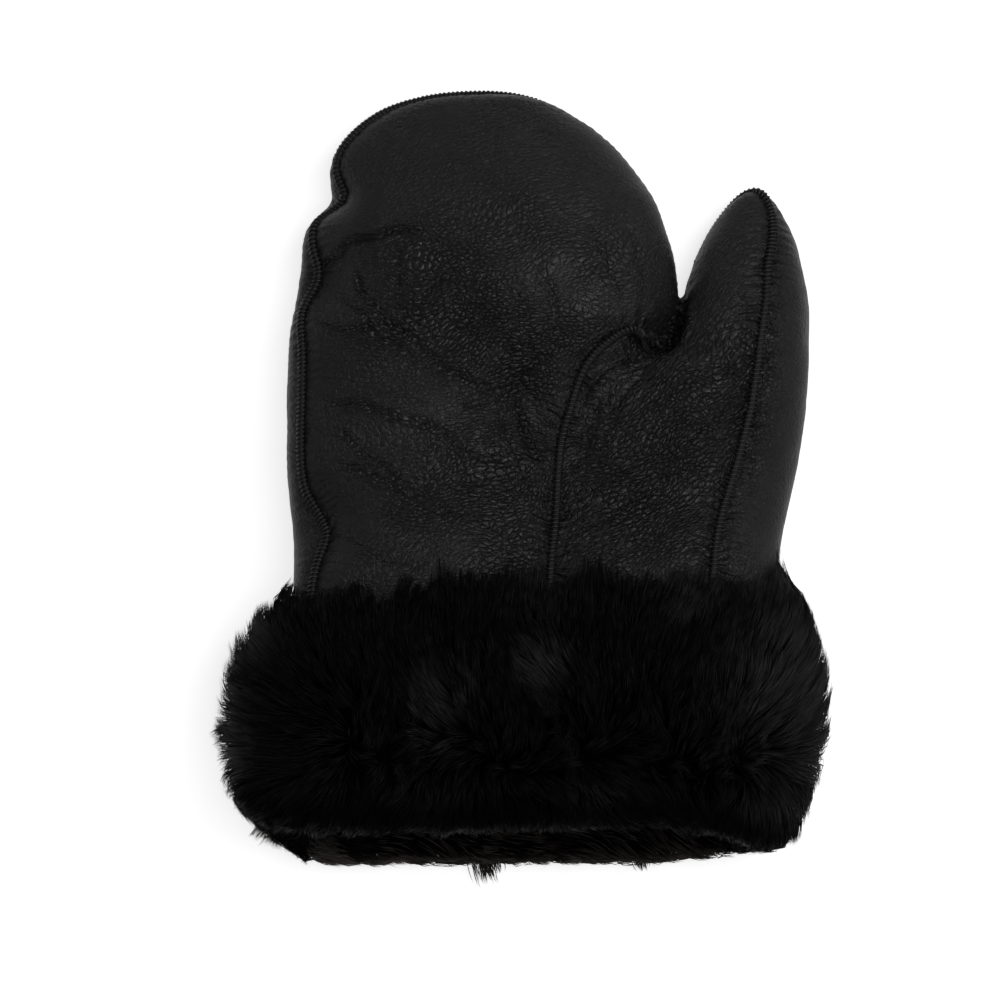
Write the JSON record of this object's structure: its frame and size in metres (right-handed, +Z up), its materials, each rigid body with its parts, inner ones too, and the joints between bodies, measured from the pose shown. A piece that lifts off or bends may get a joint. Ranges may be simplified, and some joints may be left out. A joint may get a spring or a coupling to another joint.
{
  "type": "leather mitten",
  "caption": "Shearling leather mitten for the right hand, with overcast seams, a wool-lined hollow and a deep turned-back fur cuff.",
  "frame": {"origin": "middle of the mitten's outline, on the surface that its back lies on", "axes": "+Y from the wrist to the fingertips, +X across the palm towards the thumb, +Z up out of the palm"},
  "size_m": [0.205, 0.2708, 0.0757],
  "materials": {
    "leather": "black sheepskin nappa, semi-gloss, with a coarse pebbled grain",
    "seam": "raised seam of black leather edges, overcast in black thread",
    "wool": "short dense black sheepskin wool",
    "fur": "deep dense black sheepskin fur, velvety, with a faint sheen"
  },
  "bodies": {
    "root": {"back_panel": "leather", "palm_panel": "leather", "thumb_panel": "leather", "side_seam": "seam", "thumb_seam": "seam", "gusset_seam": "seam", "back_wool": "wool", "palm_wool": "wool", "thumb_wool": "wool", "fur_cuff": "fur"}
  },
  "joints": []
}
